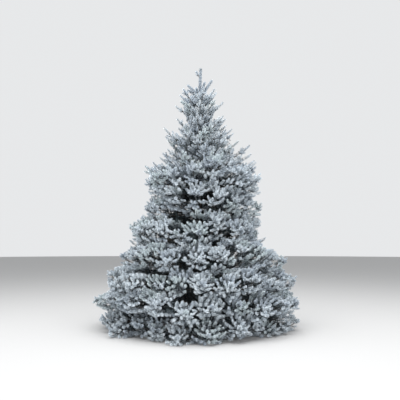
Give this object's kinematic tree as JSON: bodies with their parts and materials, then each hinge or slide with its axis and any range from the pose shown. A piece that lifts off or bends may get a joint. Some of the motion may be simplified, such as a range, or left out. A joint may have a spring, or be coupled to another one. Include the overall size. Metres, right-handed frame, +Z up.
{
  "type": "blue spruce tree",
  "caption": "Young blue spruce rooted in the ground: a dense cone of silvery blue needle tiers, with its lowest boughs on the ground and an upright leader.",
  "frame": {"origin": "centre of the trunk's flat cut at ground level", "axes": "+Z up along the trunk, +X to the right and -Y towards the viewer in the picture"},
  "size_m": [3.7649, 3.8259, 4.9],
  "materials": {
    "bark": "rough grey-brown bark, redder on the boughs and tan on the youngest twigs",
    "needles": "waxy silvery blue needles, greener inside the crown"
  },
  "bodies": {
    "root": {"trunk": "bark", "bough_1_1": "bark", "foliage_1_1": "needles", "bough_1_2": "bark", "foliage_1_2": "needles", "bough_1_3": "bark", "foliage_1_3": "needles", "bough_1_4": "bark", "foliage_1_4": "needles", "bough_1_5": "bark", "foliage_1_5": "needles", "bough_2_1": "bark", "foliage_2_1": "needles", "bough_2_2": "bark", "foliage_2_2": "needles", "bough_2_3": "bark", "foliage_2_3": "needles", "bough_2_4": "bark", "foliage_2_4": "needles", "bough_2_5": "bark", "foliage_2_5": "needles", "bough_3_1": "bark", "foliage_3_1": "needles", "bough_3_2": "bark", "foliage_3_2": "needles", "bough_3_3": "bark", "foliage_3_3": "needles", "bough_3_4": "bark", "foliage_3_4": "needles", "bough_3_5": "bark", "foliage_3_5": "needles", "bough_4_1": "bark", "foliage_4_1": "needles", "bough_4_2": "bark", "foliage_4_2": "needles", "bough_4_3": "bark", "foliage_4_3": "needles", "bough_4_4": "bark", "foliage_4_4": "needles", "foliage_5_1": "needles", "foliage_5_2": "needles", "foliage_5_3": "needles", "foliage_5_4": "needles", "foliage_6_1": "needles", "foliage_6_2": "needles", "foliage_6_3": "needles", "foliage_7_1": "needles", "foliage_7_2": "needles", "foliage_7_3": "needles", "foliage_8_1": "needles", "foliage_8_2": "needles", "foliage_8_3": "needles", "foliage_9_1": "needles", "foliage_9_2": "needles", "foliage_9_3": "needles", "foliage_10_1": "needles", "foliage_10_2": "needles", "foliage_11_1": "needles", "foliage_11_2": "needles"}
  },
  "joints": []
}
